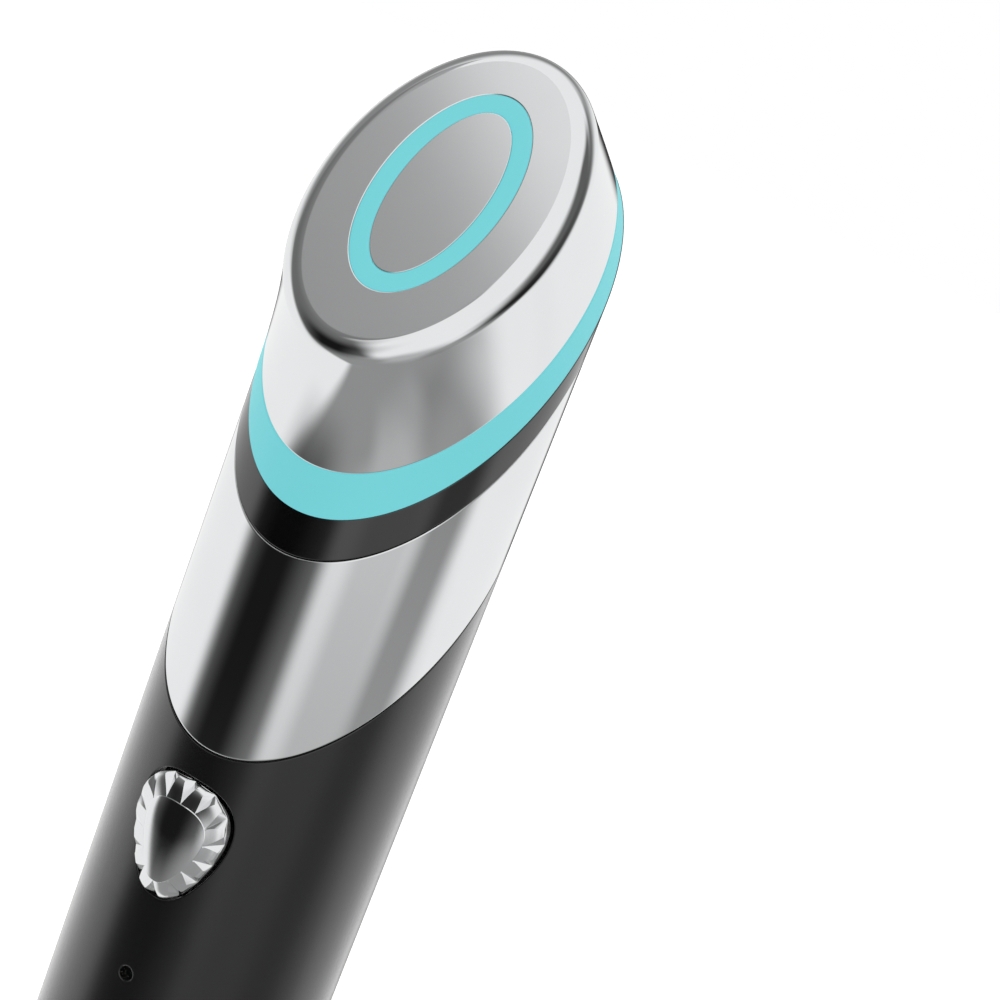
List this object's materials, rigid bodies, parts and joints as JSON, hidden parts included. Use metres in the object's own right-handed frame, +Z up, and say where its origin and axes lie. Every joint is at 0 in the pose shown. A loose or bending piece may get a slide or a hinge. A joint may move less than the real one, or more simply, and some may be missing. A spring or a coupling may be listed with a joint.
{
  "type": "microcurrent facial wand",
  "caption": "Handheld microcurrent facial wand: tapered fluted tube, slanted chrome electrode head, lit rings and a faceted press button.",
  "frame": {"origin": "centre of the flat standing face at the bottom of the tube", "axes": "+Z up along the tube; -Y is the front, where the button, the slanted cuts and the face look; +X is to the right seen from the front"},
  "size_m": [0.03, 0.0346, 0.1764],
  "materials": {
    "satin_black_aluminium": "anodised, fine bead-blasted satin",
    "chrome": "mirror-bright plating",
    "satin_metal": "fine satin",
    "gem_chrome": "mirror-bright plating on a faceted moulding",
    "gloss_black": "polished",
    "teal_light": "smooth translucent, lit from inside",
    "lens": "clear, polished",
    "black_nylon": "fine moulded texture",
    "grey_nylon": "glass-filled, matte",
    "white_reflector": "matte white",
    "black_rubber": "matte",
    "foam": "matte, open cell",
    "steel": "nickel-plated",
    "gold_contact": "gold-plated, smooth",
    "circuit_board": "solder mask",
    "chip_black": "moulded epoxy",
    "light_source": "phosphor-covered",
    "lead_insulation": "smooth silicone",
    "cell_sleeve": "shrink sleeve",
    "flex_cable": "polyimide film"
  },
  "bodies": {
    "wand": {"body_tube": "satin_black_aluminium", "base_cap": "black_nylon", "base_seal": "black_rubber", "base_screws": "steel", "usb_socket": "steel", "usb_tongue": "black_nylon", "charge_board": "circuit_board", "chassis_front": "grey_nylon", "chassis_rear": "grey_nylon", "chassis_screws": "steel", "battery_cell": "cell_sleeve", "battery_tabs": "steel", "battery_pads": "foam", "battery_leads": "lead_insulation", "charge_leads": "lead_insulation", "main_board": "circuit_board", "board_parts": "chip_black", "board_screws": "steel", "status_source": "light_source", "level_sources": "light_source", "status_lens": "lens", "level_light_pipe": "lens", "switch_body": "chip_black", "switch_dome": "steel", "button_guide": "black_nylon", "neck_core": "grey_nylon", "neck_screws": "steel", "chrome_sleeve": "chrome", "sleeve_contact": "gold_contact", "black_band": "gloss_black", "light_ring": "teal_light", "ring_light_board": "circuit_board", "ring_sources": "light_source", "ring_leads": "lead_insulation", "head_shell": "chrome", "head_screws": "steel", "face_light_oval": "teal_light", "centre_plate": "satin_metal", "face_reflector": "white_reflector", "face_board": "circuit_board", "face_sources": "light_source", "centre_contact": "gold_contact", "shell_contacts": "gold_contact", "head_flex": "flex_cable"},
    "button": {"button_cap": "gem_chrome"},
    "plunger": {"switch_plunger": "chip_black"}
  },
  "joints": [
    {"name": "button_press", "type": "slide", "parent": "wand", "child": "button", "axis": [0, 1, 0], "range_m": [0, 0.0006], "stiffness_N_per_m": 2000},
    {"name": "plunger_press", "type": "slide", "parent": "wand", "child": "plunger", "axis": [0, 1, 0], "range_m": [0, 0.0006]}
  ],
  "couplings": [
    {"joint": "plunger_press", "follows": "button_press", "ratio": 1}
  ]
}
